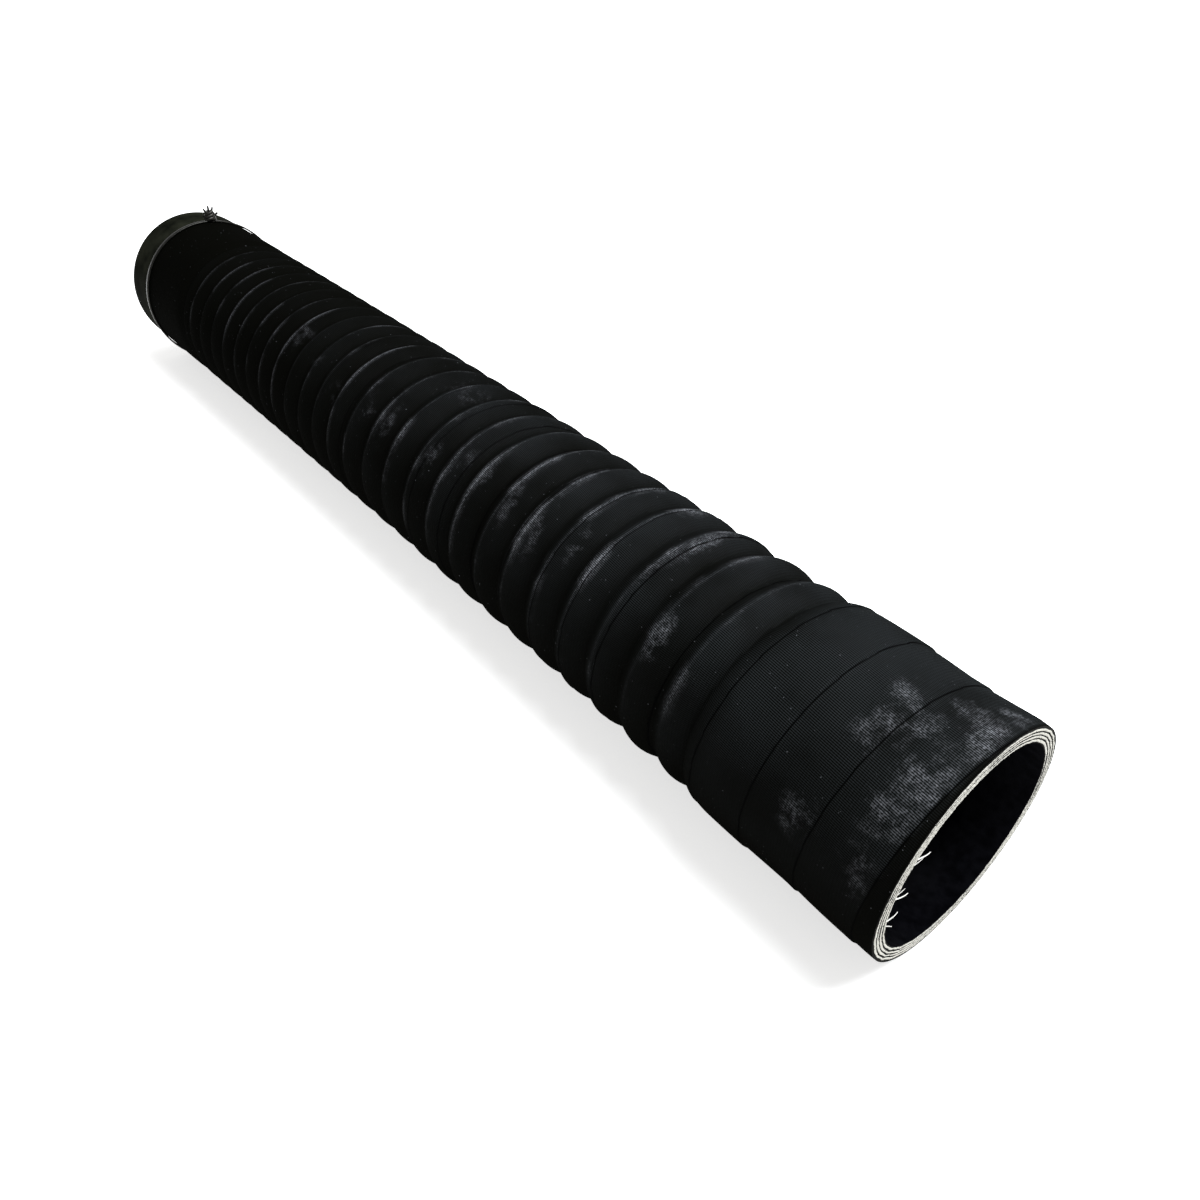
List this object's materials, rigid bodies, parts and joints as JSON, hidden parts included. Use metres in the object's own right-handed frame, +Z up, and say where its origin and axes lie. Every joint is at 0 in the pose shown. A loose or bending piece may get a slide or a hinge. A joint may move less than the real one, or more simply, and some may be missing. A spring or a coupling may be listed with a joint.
{
  "type": "flexible hose",
  "caption": "Corrugated black rubber hose with a plain straight cuff at each end, fabric-reinforced wall and a twisted metal tie round one cuff.",
  "frame": {"origin": "on the floor, under the middle of the bounding box", "axes": "+X along the hose towards the cut end without the tie, +Z up"},
  "size_m": [0.6, 0.0908, 0.0964],
  "materials": {
    "rubber": "matt black cured rubber with a fine cloth imprint and grey talc patches",
    "tie_metal": "dark annealed steel with a dull gloss"
  },
  "bodies": {
    "root": {"hose": "rubber", "tie": "tie_metal"}
  },
  "joints": []
}
